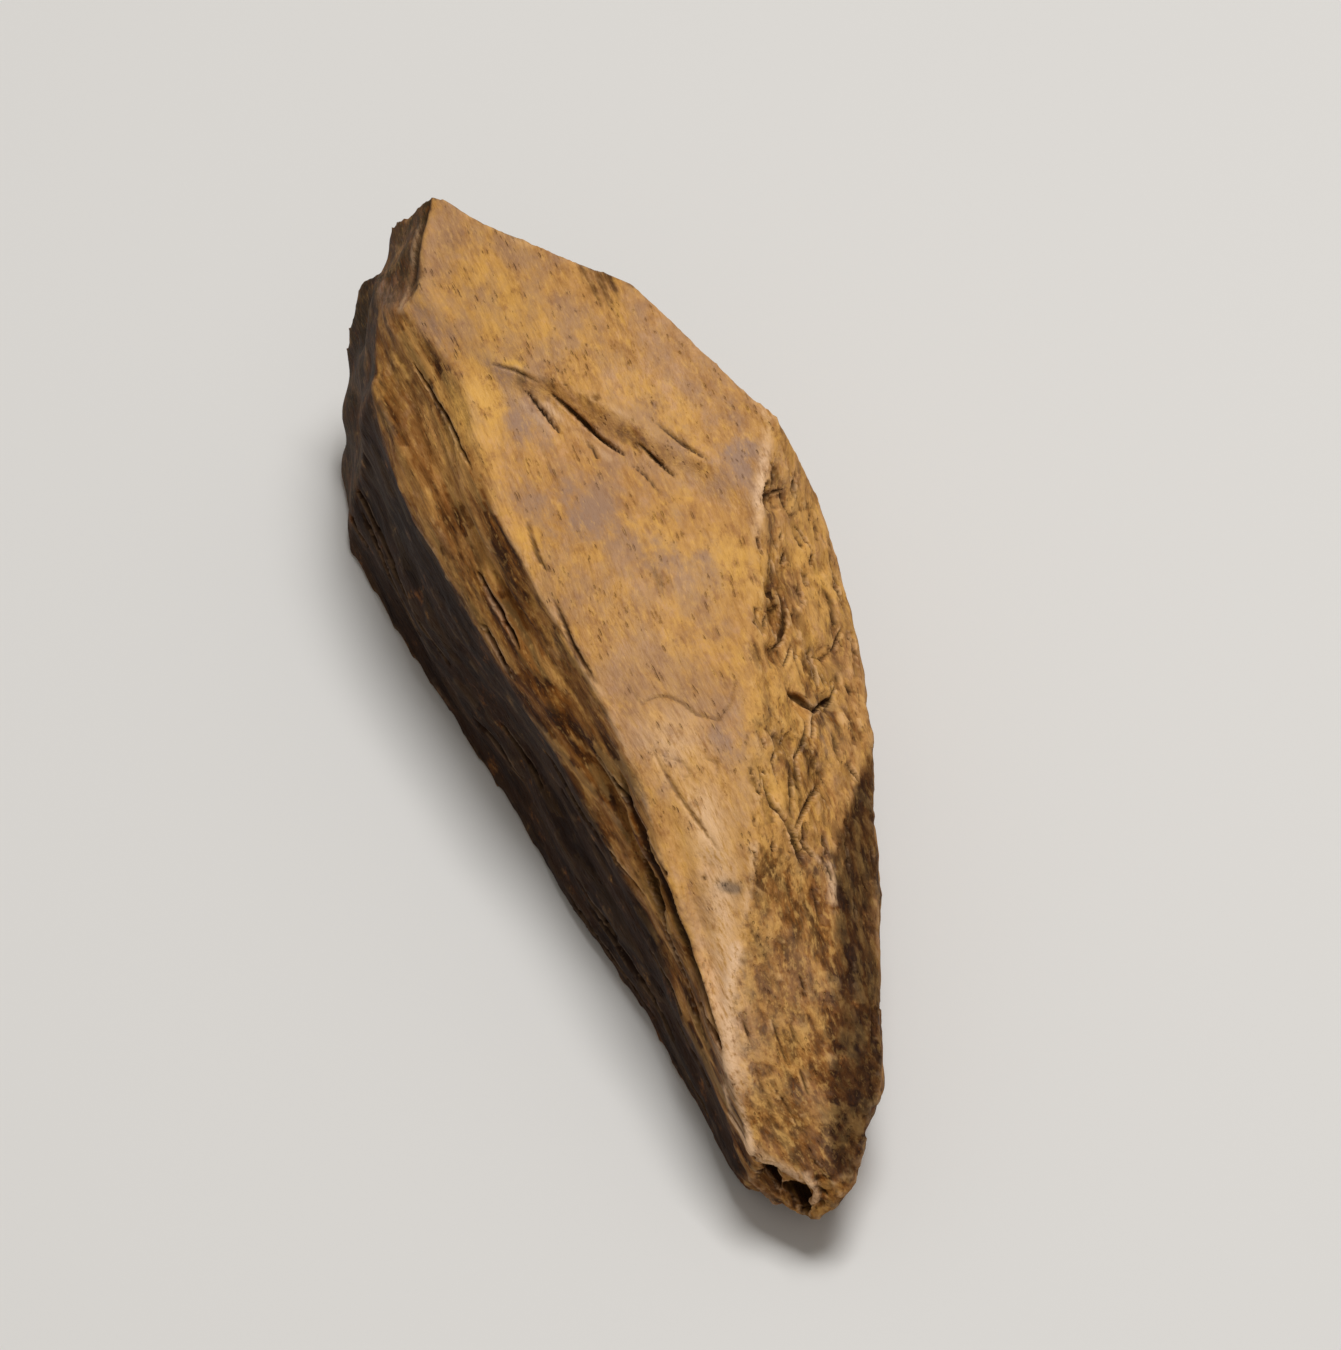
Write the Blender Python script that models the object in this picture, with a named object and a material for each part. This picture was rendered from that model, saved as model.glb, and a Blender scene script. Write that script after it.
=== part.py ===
"""A large chip of agarwood, hewn with a knife and lying on its flat underside.

The wood's grain runs along X, from the broad butt at -X to the blunt tip at +X.
The shape is a set of named corners joined into hewn faces. Each face is divided
into small triangles and then worn, fluted, pitted or broken, as its kind says.
"""

import math

import bmesh
import bpy
from mathutils import Vector, noise

MM = 0.001

# Corners of the chip in millimetres: along the grain, across it, and above the surface it lies on.
CORNERS = {
    # Far edge of the top face, from the butt to the shoulder
    "crest_0": (-36.5, -4, 24.5),
    "crest_1": (-29.5, 0.5, 25),
    "crest_2": (-21.5, 7, 25.2),
    "crest_3": (-14, 9.5, 24.3),
    "crest_4": (-10, 11.5, 22.8),
    # Edge of the raised layer that the top face ends in
    "ledge_0": (-30, -7.5, 22.5),
    "ledge_1": (-23, -6.5, 23),
    "ledge_2": (-20, -3.5, 23.1),
    "ledge_3": (-17.5, -1, 23.2),
    "ledge_4": (-11, 4, 22.8),
    # Foot of that layer
    "step_0": (-19.5, -4.5, 22.2),
    "step_1": (-17, -2, 22),
    "step_2": (-10.5, 2.8, 21.5),
    # Edge between the main face and the split band on its left
    "left_0": (-30, -8.5, 21),
    "left_1": (-21, -7, 22),
    "left_2": (-12.5, -8.5, 21),
    "left_3": (-5, -8, 20),
    "left_4": (5, -6.5, 18.5),
    "left_5": (11.5, -6, 17),
    "left_6": (21.5, -7, 13.5),
    # Edge between the main face and the right faces
    "main_0": (-4, 8, 21.3),
    "main_1": (4, 4.5, 20.3),
    "main_2": (12, 1, 18.7),
    "main_3": (19, -1, 16.5),
    "main_4": (22.5, -3, 14.5),
    "main_5": (26.5, -5.5, 12),
    "nose": (32, -7, 9),
    # Foot of the split band
    "band_0": (-19.5, -12.5, 15),
    "band_1": (-10, -11.5, 14),
    "band_2": (0, -10, 12.5),
    "band_3": (10, -8.5, 11),
    "band_4": (22, -8, 7.5),
    "band_5": (32.5, -7, 5),
    # Edge of the chop that takes off the butt's left corner
    "chop_0": (-33.5, -9, 18),
    "chop_1": (-30.5, -10.5, 17),
    "chop_2": (-27.5, -11.5, 16),
    "chop_3": (-28.5, -12.5, 12.5),
    "chop_4": (-28, -13, 8),
    # Rim of the butt end
    "bevel": (-37, -7.5, 17),
    "end_0": (-38.3, -4.5, 23.5),
    "end_1": (-39.5, -6, 19.5),
    "end_2": (-40.5, -7.5, 14),
    "end_3": (-39.5, -10, 11),
    "end_4": (-38, -12, 7),
    "end_5": (-37.5, -12, 4),
    # Widest line of the far side
    "swell_0": (-7.5, 13.5, 17),
    "swell_1": (0, 13, 14.5),
    "swell_2": (10.5, 10.5, 13),
    "swell_3": (25, 5.5, 10.5),
    "swell_4": (34, 2, 8),
    "swell_5": (39, -1.5, 6),
    # Edge between the front right face and the one that turns away
    "fold_0": (19, 4.5, 13.5),
    "fold_1": (24, 3, 12.2),
    "fold_2": (32, -0.5, 9.8),
    # Ragged tip
    "tip_0": (35, -7, 7),
    "tip_1": (37.3, -5.5, 7),
    "tip_2": (38.5, -3, 6.8),
    "lip_0": (35, -7.2, 4.3),
    "lip_1": (38, -5.8, 2.2),
    "lip_2": (41, -4, 3),
    # Back ridge at half height
    "back_0": (-35.5, 2.5, 13),
    "back_1": (-24, 8.5, 14),
    "back_2": (-13, 13, 14.5),
    # Outline of the flat underside
    "sole_end": (-39.5, -6, 0),
    "near_0": (-36.5, -11.5, 0),
    "near_1": (-28, -13.5, 0),
    "near_2": (-15, -12.5, 0),
    "near_3": (-5, -11, 0),
    "near_4": (10, -9, 0),
    "near_5": (22, -7.8, 0),
    "near_6": (33, -6.5, 0),
    "near_7": (36, -5, 0),
    "far_0": (-34, 1.5, 0),
    "far_1": (-23, 7.5, 0),
    "far_2": (-12, 12, 0),
    "far_3": (0, 12, 0),
    "far_4": (12, 9.5, 0),
    "far_5": (25, 4.5, 0),
    "far_6": (34.5, 0.5, 0),
    "far_7": (36.5, -2.5, 0),
}


def run(chain, first, last):
    """The corner names CHAIN_first to CHAIN_last, in either direction."""
    step = 1 if last >= first else -1
    return [f"{chain}_{number}" for number in range(first, last + step, step)]


# Each hewn face: its kind, then its corners, anticlockwise seen from outside.
FACES = {
    "top": ("cut", ["crest_0", *run("ledge", 0, 4), "main_0", *run("crest", 4, 1)]),
    "step": ("cut", ["ledge_0", "left_0", "left_1", "step_0", "ledge_2", "ledge_1"]),
    "ledge": ("split", [*run("step", 0, 2), "main_0", *run("ledge", 4, 2)]),
    "main": ("cut", [*run("left", 1, 6), "nose", *run("main", 5, 0), *run("step", 2, 0)]),
    "right": ("pitted", [*run("main", 0, 3), "fold_0", *run("swell", 2, 0), "crest_4"]),
    "front": ("pitted", [*run("main", 3, 5), "nose", *run("tip", 0, 2), *run("fold", 2, 0)]),
    "turned": ("split", [*run("fold", 0, 2), "tip_2", *run("swell", 5, 2)]),
    "band": ("split", [*run("chop", 0, 2), *run("band", 0, 5), "lip_0", "tip_0", "nose", *run("left", 6, 0)]),
    "wall": ("split", [*run("near", 1, 6), "lip_0", *run("band", 5, 0), *run("chop", 2, 4)]),
    "butt_top": ("broken", ["crest_0", *run("end", 0, 1), "bevel", "chop_0", "left_0", "ledge_0"]),
    "butt_low": ("broken", [*run("near", 0, 1), *run("chop", 4, 0), "bevel", *run("end", 1, 5)]),
    "butt_end": ("broken", ["far_0", "sole_end", "near_0", *run("end", 5, 0), *run("crest", 0, 1), "back_0"]),
    "back": ("cut", ["swell_0", *run("back", 2, 0), *run("crest", 1, 4)]),
    "back_low": ("split", [*run("far", 2, 0), *run("back", 0, 2)]),
    "far_low": ("cut", ["far_3", "far_2", "back_2", *run("swell", 0, 1)]),
    "far_middle": ("split", ["far_4", "far_3", *run("swell", 1, 2)]),
    "far_tip": ("split", [*run("far", 6, 4), *run("swell", 2, 4)]),
    "tip": ("broken", [*run("lip", 0, 2), "swell_5", *run("tip", 2, 0)]),
    "tip_low": ("broken", [*run("near", 6, 7), *run("far", 7, 6), *run("swell", 4, 5), *run("lip", 2, 0)]),
    "sole": ("rest", ["near_0", "sole_end", *run("far", 0, 7), *run("near", 7, 1)]),
}

# How each kind of face stands in and out, in millimetres
RELIEF = {
    "cut": {"wave": 0.9, "flute": 0.12, "rough": 0.1},
    "split": {"wave": 0.7, "flute": 0.75, "rough": 0.15},
    "pitted": {"wave": 0.6, "flute": 0.2, "rough": 0.35},
    "broken": {"wave": 0.5, "flute": 0.0, "rough": 0.9},
    "rest": {"wave": 0.0, "flute": 0.0, "rough": 0.0},
}
WAVE_LENGTH = 13.0
FLUTE_LENGTH = 22.0
FLUTE_WIDTH = 3.2
ROUGH_LENGTH = 3.6

# Drying slits and cracks: the face, half width and depth, then the line that each follows
SLITS = [
    ("main", 0.6, 0.7, [(13.5, -5.1, 16.2), (22.5, -5.7, 12.8), (27.5, -6.1, 10.6)]),
    ("band", 0.8, 0.9, [(-18, -10, 18), (-9, -9.5, 17.4), (-1, -8.7, 16.3)]),
    ("band", 0.8, 0.9, [(2, -8.6, 14.9), (11, -7.6, 13.6), (19, -7.6, 10.6)]),
]

# Small holes: the face, half length along the grain, half width, depth, then the middle
HOLES = [
    ("right", 1.1, 0.9, 1.0, (-5.4, 9.6, 20.2)),
    ("right", 1.2, 0.8, 0.9, (-0.4, 8.8, 18.8)),
    ("right", 0.9, 0.8, 0.8, (1, 7, 19.4)),
    ("right", 1.9, 0.8, 1.2, (3.3, 6.9, 19)),
    ("right", 1.0, 0.8, 0.9, (5.8, 5.4, 18.8)),
    ("right", 1.0, 0.9, 0.9, (5, 10, 16.6)),
    ("right", 1.3, 0.8, 1.0, (8.8, 6.2, 17.2)),
    ("right", 1.1, 0.9, 0.9, (8.8, 8.8, 16)),
    ("right", 1.0, 0.8, 0.8, (11.9, 4.4, 17.2)),
    ("right", 1.4, 0.8, 0.9, (14.2, 6.2, 15.6)),
    ("main", 0.9, 0.7, 0.7, (18.3, -4, 15.5)),
    ("tip", 1.0, 0.9, 1.2, (36.1, -6.5, 5.8)),
    ("tip", 1.2, 1.0, 1.4, (37.9, -5.1, 4.8)),
    ("tip", 1.0, 0.8, 1.0, (39.1, -3.7, 4.4)),
]

# Longest triangle edge: on plain wood, near a slit or hole, and on the underside
PLAIN_EDGE = 2.0
FINE_EDGE = 0.6
SOLE_EDGE = 4.0
FINE_REACH = 0.25

DIVIDING_PASSES = 12
RELAXING_PASSES = 4
RELAXING_SHARE = 0.6
SMALLEST_LENGTH = 1e-6

WOOD = {"colour": (0.36, 0.2, 0.075, 1.0), "roughness": 0.55}


def remove_everything():
    """Starts from an empty scene."""
    for thing in list(bpy.data.objects):
        bpy.data.objects.remove(thing, do_unlink=True)


def hewn_block():
    """The closed block of hewn faces, with each face's number in the layer "hewn"."""
    bm = bmesh.new()
    number_of = bm.faces.layers.int.new("hewn")
    corners = {name: bm.verts.new(place) for name, place in CORNERS.items()}
    for number, (_kind, names) in enumerate(FACES.values()):
        face = bm.faces.new([corners[name] for name in names])
        face[number_of] = number
    bmesh.ops.triangulate(bm, faces=bm.faces[:], ngon_method="BEAUTY")
    return bm, number_of


def face_directions(bm, number_of):
    """The way that each hewn face looks out, by the face's name."""
    sums = [Vector() for _name in FACES]
    for face in bm.faces:
        sums[face[number_of]] += face.normal * face.calc_area()
    return {name: total.normalized() for name, total in zip(FACES, sums)}


def off_line(place, points, outward):
    """How far a place is from a line drawn on a face, and how far along the line it is, from 0 to 1."""
    best, share = math.inf, 0.0
    for number, (start, end) in enumerate(zip(points, points[1:])):
        stretch = Vector(end) - Vector(start)
        away = place - Vector(start)
        stretch -= outward * stretch.dot(outward)
        away -= outward * away.dot(outward)
        along = min(max(away.dot(stretch) / stretch.length_squared, 0.0), 1.0)
        distance = (away - stretch * along).length
        if distance < best:
            best, share = distance, (number + along) / (len(points) - 1)
    return best, share


def off_hole(place, half_length, half_width, middle, outward):
    """How far a place is from the middle of a hole in a face: 0 there and 1 at the rim."""
    away = place - Vector(middle)
    away -= outward * away.dot(outward)
    return math.hypot(away.x / half_length, math.hypot(away.y, away.z) / half_width)


def near_detail(place, names, directions):
    """Whether a slit or hole in one of the named faces is close enough to need small triangles."""
    for name, half_width, _depth, points in SLITS:
        if name in names and off_line(place, points, directions[name])[0] < half_width + FINE_REACH:
            return True
    for name, half_length, half_width, _depth, middle in HOLES:
        reach = 1.0 + FINE_REACH / half_width
        if name in names and off_hole(place, half_length, half_width, middle, directions[name]) < reach:
            return True
    return False


def too_long(edge, number_of, directions):
    """Whether an edge is longer than its place asks."""
    length = edge.calc_length()
    face_names = list(FACES)
    names = {face_names[face[number_of]] for face in edge.link_faces}
    if names == {"sole"}:
        return length > SOLE_EDGE
    if length > PLAIN_EDGE:
        return True
    middle = (edge.verts[0].co + edge.verts[1].co) / 2
    return length > FINE_EDGE and near_detail(middle, names, directions)


def inner_edges(bm, number_of):
    """The edges that lie inside one hewn face."""
    return [edge for edge in bm.edges if len({face[number_of] for face in edge.link_faces}) == 1]


def relax(bm, number_of, passes):
    """Evens the triangles, keeping the edges between hewn faces as lines and the junctions as points."""
    for _ in range(passes):
        moves = {}
        for vert in bm.verts:
            hewn_edges = [
                edge for edge in vert.link_edges if len({face[number_of] for face in edge.link_faces}) > 1
            ]
            if not hewn_edges:
                neighbours = [edge.other_vert(vert).co for edge in vert.link_edges]
            elif len(hewn_edges) == 2:
                neighbours = [edge.other_vert(vert).co for edge in hewn_edges]
            else:
                continue
            middle = sum(neighbours, Vector()) / len(neighbours)
            moves[vert] = vert.co.lerp(middle, RELAXING_SHARE)
        for vert, place in moves.items():
            vert.co = place


def divide(bm, number_of, directions):
    """Divides long edges until each is as short as its place asks."""
    for _ in range(DIVIDING_PASSES):
        long_edges = [edge for edge in bm.edges if too_long(edge, number_of, directions)]
        if not long_edges:
            break
        bmesh.ops.subdivide_edges(bm, edges=long_edges, cuts=1)
        many_sided = [face for face in bm.faces if len(face.verts) > 3]
        bmesh.ops.triangulate(bm, faces=many_sided, quad_method="SHORT_EDGE", ngon_method="BEAUTY")
        bmesh.ops.beautify_fill(bm, faces=bm.faces[:], edges=inner_edges(bm, number_of), method="AREA")
        relax(bm, number_of, 1)


def relief(place, kind):
    """How far the wood stands out at a place on a face of this kind, in millimetres."""
    depths = RELIEF[kind]
    wave = noise.noise(place / WAVE_LENGTH)
    flute = noise.noise(Vector((place.x / FLUTE_LENGTH, place.y / FLUTE_WIDTH, place.z / FLUTE_WIDTH)))
    rough = noise.noise(place / ROUGH_LENGTH)
    return wave * depths["wave"] + flute * depths["flute"] + rough * depths["rough"]


def cut_depth(place, names, directions):
    """How deep the deepest slit or hole is at a place on the named faces, in millimetres."""
    deepest = 0.0
    for name, half_width, depth, points in SLITS:
        if name in names:
            distance, share = off_line(place, points, directions[name])
            taper = math.sqrt(max(0.0, 1.0 - (2.0 * share - 1.0) ** 2))
            closeness = max(0.0, 1.0 - distance / half_width)
            deepest = max(deepest, depth * taper * math.sin(closeness * math.pi / 2))
    for name, half_length, half_width, depth, middle in HOLES:
        if name in names:
            closeness = max(0.0, 1.0 - off_hole(place, half_length, half_width, middle, directions[name]))
            deepest = max(deepest, depth * math.sin(closeness * math.pi / 2))
    return deepest


def work_surface(bm, number_of, directions):
    """Moves each point in or out along its normal, and keeps the underside flat."""
    face_names = list(FACES)
    bm.normal_update()
    places = {}
    for vert in bm.verts:
        names = {face_names[face[number_of]] for face in vert.link_faces}
        height = sum(relief(vert.co, FACES[name][0]) for name in sorted(names)) / len(names)
        height -= cut_depth(vert.co, names, directions)
        direction = vert.normal.copy()
        if "sole" in names:
            direction.z = 0.0
            height = 0.0 if len(names) == 1 else height
        places[vert] = vert.co + direction * height
    for vert, place in places.items():
        vert.co = place
        if vert.co.z < SMALLEST_LENGTH:
            vert.co.z = 0.0


def centre_and_scale(bm):
    """Puts the middle of the chip's box over the origin, stands it on Z = 0 and turns it to metres."""
    lowest = Vector([min(vert.co[axis] for vert in bm.verts) for axis in range(3)])
    highest = Vector([max(vert.co[axis] for vert in bm.verts) for axis in range(3)])
    shift = Vector(((lowest.x + highest.x) / 2, (lowest.y + highest.y) / 2, lowest.z))
    for vert in bm.verts:
        vert.co = (vert.co - shift) * MM


def wood_material():
    """Warm ochre brown wood with a faint sheen of resin."""
    material = bpy.data.materials.new("agarwood")
    material.use_nodes = True
    shader = material.node_tree.nodes["Principled BSDF"]
    shader.inputs["Base Color"].default_value = WOOD["colour"]
    shader.inputs["Roughness"].default_value = WOOD["roughness"]
    shader.inputs["Metallic"].default_value = 0.0
    return material


def agarwood_piece():
    """The chip as one solid."""
    bm, number_of = hewn_block()
    directions = face_directions(bm, number_of)
    divide(bm, number_of, directions)
    relax(bm, number_of, RELAXING_PASSES)
    work_surface(bm, number_of, directions)
    centre_and_scale(bm)
    mesh = bpy.data.meshes.new("agarwood_piece")
    bm.to_mesh(mesh)
    bm.free()
    mesh.materials.append(wood_material())
    piece = bpy.data.objects.new("agarwood_piece", mesh)
    bpy.context.scene.collection.objects.link(piece)
    return piece


remove_everything()
agarwood_piece()
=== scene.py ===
import math
import random

import bmesh
import bpy
import numpy as np
from mathutils import Matrix, Vector, noise
from mathutils.bvhtree import BVHTree


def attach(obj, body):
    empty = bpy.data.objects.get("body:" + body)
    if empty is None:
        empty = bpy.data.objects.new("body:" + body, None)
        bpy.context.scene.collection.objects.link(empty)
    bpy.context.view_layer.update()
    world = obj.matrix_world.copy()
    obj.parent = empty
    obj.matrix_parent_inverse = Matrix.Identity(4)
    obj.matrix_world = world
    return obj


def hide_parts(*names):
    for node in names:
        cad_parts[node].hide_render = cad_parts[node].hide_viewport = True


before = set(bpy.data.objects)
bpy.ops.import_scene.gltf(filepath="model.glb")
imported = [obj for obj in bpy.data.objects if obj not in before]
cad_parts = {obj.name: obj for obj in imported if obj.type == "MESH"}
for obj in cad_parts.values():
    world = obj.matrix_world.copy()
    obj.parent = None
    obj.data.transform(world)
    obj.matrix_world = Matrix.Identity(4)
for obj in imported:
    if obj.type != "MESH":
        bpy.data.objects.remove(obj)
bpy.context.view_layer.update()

mm = 0.001

# The lines that the chip was hewn to, in mm, and the faces between them, as the solid has them
hewnLines = {
    "crest": [(-36.5, -4, 24.5), (-29.5, 0.5, 25), (-21.5, 7, 25.2), (-14, 9.5, 24.3), (-10, 11.5, 22.8)],
    "ledge": [(-30, -7.5, 22.5), (-23, -6.5, 23), (-20, -3.5, 23.1), (-17.5, -1, 23.2), (-11, 4, 22.8)],
    "step": [(-19.5, -4.5, 22.2), (-17, -2, 22), (-10.5, 2.8, 21.5)],
    "left": [(-30, -8.5, 21), (-21, -7, 22), (-12.5, -8.5, 21), (-5, -8, 20), (5, -6.5, 18.5), (11.5, -6, 17),
             (21.5, -7, 13.5)],
    "main": [(-4, 8, 21.3), (4, 4.5, 20.3), (12, 1, 18.7), (19, -1, 16.5), (22.5, -3, 14.5),
             (26.5, -5.5, 12)],
    "nose": [(32, -7, 9)],
    "band": [(-19.5, -12.5, 15), (-10, -11.5, 14), (0, -10, 12.5), (10, -8.5, 11), (22, -8, 7.5),
             (32.5, -7, 5)],
    "chop": [(-33.5, -9, 18), (-30.5, -10.5, 17), (-27.5, -11.5, 16), (-28.5, -12.5, 12.5), (-28, -13, 8)],
    "bevel": [(-37, -7.5, 17)],
    "end": [(-38.3, -4.5, 23.5), (-39.5, -6, 19.5), (-40.5, -7.5, 14), (-39.5, -10, 11), (-38, -12, 7),
            (-37.5, -12, 4)],
    "swell": [(-7.5, 13.5, 17), (0, 13, 14.5), (10.5, 10.5, 13), (25, 5.5, 10.5), (34, 2, 8), (39, -1.5, 6)],
    "fold": [(19, 4.5, 13.5), (24, 3, 12.2), (32, -0.5, 9.8)],
    "tip": [(35, -7, 7), (37.3, -5.5, 7), (38.5, -3, 6.8)],
    "lip": [(35, -7.2, 4.3), (38, -5.8, 2.2), (41, -4, 3)],
    "back": [(-35.5, 2.5, 13), (-24, 8.5, 14), (-13, 13, 14.5)],
    "heel": [(-39.5, -6, 0)],
    "near": [(-36.5, -11.5, 0), (-28, -13.5, 0), (-15, -12.5, 0), (-5, -11, 0), (10, -9, 0), (22, -7.8, 0),
             (33, -6.5, 0), (36, -5, 0)],
    "far": [(-34, 1.5, 0), (-23, 7.5, 0), (-12, 12, 0), (0, 12, 0), (12, 9.5, 0), (25, 4.5, 0),
            (34.5, 0.5, 0), (36.5, -2.5, 0)],
}

# Each face between them: which lines go round it, from which corner to which
hewnFaces = {
    "top": [("crest", 0, 0), ("ledge", 0, 4), ("main", 0, 0), ("crest", 4, 1)],
    "step": [("ledge", 0, 0), ("left", 0, 1), ("step", 0, 0), ("ledge", 2, 1)],
    "ledge": [("step", 0, 2), ("main", 0, 0), ("ledge", 4, 2)],
    "main": [("left", 1, 6), ("nose", 0, 0), ("main", 5, 0), ("step", 2, 0)],
    "right": [("main", 0, 3), ("fold", 0, 0), ("swell", 2, 0), ("crest", 4, 4)],
    "front": [("main", 3, 5), ("nose", 0, 0), ("tip", 0, 2), ("fold", 2, 0)],
    "turned": [("fold", 0, 2), ("tip", 2, 2), ("swell", 5, 2)],
    "band": [("chop", 0, 2), ("band", 0, 5), ("lip", 0, 0), ("tip", 0, 0), ("nose", 0, 0), ("left", 6, 0)],
    "wall": [("near", 1, 6), ("lip", 0, 0), ("band", 5, 0), ("chop", 2, 4)],
    "buttTop": [("crest", 0, 0), ("end", 0, 1), ("bevel", 0, 0), ("chop", 0, 0), ("left", 0, 0),
                ("ledge", 0, 0)],
    "buttLow": [("near", 0, 1), ("chop", 4, 0), ("bevel", 0, 0), ("end", 1, 5)],
    "buttEnd": [("far", 0, 0), ("heel", 0, 0), ("near", 0, 0), ("end", 5, 0), ("crest", 0, 1),
                ("back", 0, 0)],
    "back": [("swell", 0, 0), ("back", 2, 0), ("crest", 1, 4)],
    "backLow": [("far", 2, 0), ("back", 0, 2)],
    "farLow": [("far", 3, 2), ("back", 2, 2), ("swell", 0, 1)],
    "farMiddle": [("far", 4, 3), ("swell", 1, 2)],
    "farTip": [("far", 6, 4), ("swell", 2, 4)],
    "tip": [("lip", 0, 2), ("swell", 5, 5), ("tip", 2, 0)],
    "tipLow": [("near", 6, 7), ("far", 7, 6), ("swell", 4, 5), ("lip", 2, 0)],
    "sole": [("near", 0, 0), ("heel", 0, 0), ("far", 0, 7), ("near", 7, 1)],
}
faceNames = list(hewnFaces)

# How each face was worked, and from 0 to 1 how dark its resin, how thick its mauve bloom and how far painted
# shade blackens it
faceLooks = {
    "top": ("cut", 0.18, 0.6, 0.0),
    "step": ("cut", 0.25, 1.0, 0.0),
    "ledge": ("cut", 0.3, 0.3, 0.0),
    "main": ("cut", 0.1, 0.5, 0.0),
    "right": ("pitted", 0.31, 0.15, 0.0),
    "front": ("felted", 0.56, 0.25, 0.0),
    "turned": ("felted", 0.8, 0.0, 0.7),
    "band": ("split", 0.54, 0.0, 0.0),
    "wall": ("split", 0.92, 0.0, 0.9),
    "buttTop": ("broken", 0.7, 0.3, 0.2),
    "buttLow": ("broken", 0.9, 0.1, 0.6),
    "buttEnd": ("broken", 0.75, 0.2, 0.3),
    "back": ("cut", 0.34, 0.35, 0.0),
    "backLow": ("split", 0.46, 0.1, 0.0),
    "farLow": ("split", 0.42, 0.1, 0.0),
    "farMiddle": ("split", 0.48, 0.0, 0.1),
    "farTip": ("split", 0.5, 0.0, 0.15),
    "tip": ("ragged", 0.42, 0.0, 0.0),
    "tipLow": ("ragged", 0.75, 0.0, 0.3),
    "sole": ("rest", 0.5, 0.1, 0.1),
}

chip = {
    "offset": (0.2, 0.1, 0.0),   # mm from the hewn lines to the frame, whose middle is the worn chip's
    "voxel": 0.335,              # mm between points of the fine mesh
    "fineReach": 0.16,           # mm beside each slit where the mesh is finer still
    "holeReach": 1.4,            # and round each hole, where its rim is at 1
    "meshPasses": 2,             # passes of smoothing that take the steps out of the mesh
    "edgeSoftness": 0.4,         # how soft its sharpened edges are
    "reliefSoftness": 0.3,       # and its relief
    "faceReach": 2.2,            # mm within which a point looks for its hewn face
    "facingWorth": 2.6,          # mm that one may be further off if it looks the same way
    "facePasses": 2,             # how softly one kind of face runs into the next
    "normalPasses": 3,           # how even the directions are that the relief is cut in
    "crackPasses": 4,            # and those that the random cracks lie in
    "crispness": 0.5,            # how far the edges go back to the lines that they were hewn to, 0 to 1
    "crispLimits": (0.3, 0.6),   # mm; edges worn back further than this stay worn
    "edgePasses": 9,             # how far an edge is felt, and how strongly
    "edgeStrength": 2.4,
    "buttWear": 10,              # how blunt the edges of the thick end are, in passes of smoothing
    "buttPolish": 5,             # how worn its small chips are
    "buttBlend": 4,              # how softly its wear ends
    "buttReach": 1.6,            # how far that wear goes over the faces beside it
    "cutKeeps": 3.0,             # and how well the cuts on top keep it off
    "grainWander": 1.3,          # mm that the grain drifts from straight
    "lowDarkening": 0.25,            # how much darker the wood is at its underside
    "lowHeight": 12,             # mm up where that ends, and how much this height wavers
    "lowWaver": 2,
    "reliefRange": (-1.2, 0.4),  # mm
    "scoopLevel": 0.25,          # how far the knife's dips are sunk
    "pitLevels": (0.6, 0.85),    # how low a small chip lies to be a pit, and one of the smallest
    "smallPitLevels": (0.2, 0.7),
    "knifeWarp": 0.8,            # mm that the knife's dips wander, and the small chips of wood
    "chipWarp": 0.2,
    "slitEnds": 0.35,            # share of its width that a slit keeps at its ends
    "slitJitter": 0.25,          # how uneven its width is
    "holeJitter": 0.6,           # how uneven a hole's rim is
    "slitDark": 0.35,            # mm deep where the painted shade inside a slit is full
    "holeDark": 0.5,             # mm deep where a hole's painted shade is full
    "rimDark": (0.05, 0.5),      # shares of the way in between which that painted shade sets in
    "crackEnds": 0.3,            # the same for a crack
    "crackCrook": 0.1,           # mm, how crooked a crack is, and how bent
    "crackBend": 0.25,
    "crackThrough": 1.5,         # mm in and out of the face that a crack reaches
    "crackDark": (0.05, 0.3),    # mm deep between which its painted shade sets in
    "crackSeed": 17,
    "paleEdgePatches": (0.7, 0.9),    # how strong the paleness of edges is, rubbing and painted highlight both, and how patchy
    "paleEdgeSpread": 0.5,            # how much wider it is where it is strong
    "paleEdgeFull": 0.8,              # share of the way in where an edge is pale in full
    "rubFlat": 0.5,              # how much of the relief it takes off
    "shadeCover": 0.7,            # how much the painted shade hides the pale ridges
}

# Cracks that open along the grain, on each kind of face that has them: how many, their lengths, half widths
# and depths in mm, and how far they turn from the grain, in degrees
crackKinds = {
    "split": (34, (5, 16), (0.14, 0.26), (0.3, 0.8), 3),
    "pitted": (44, (0.8, 3), (0.1, 0.17), (0.25, 0.5), 38),
    "felted": (24, (1.5, 4), (0.09, 0.15), (0.15, 0.3), 7),
    "cut": (8, (1.5, 4), (0.08, 0.12), (0.08, 0.16), 7),
    "ragged": (5, (1, 2.5), (0.12, 0.2), (0.2, 0.4), 50),
    "rest": (8, (4, 12), (0.12, 0.22), (0.2, 0.4), 3),
}

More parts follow.
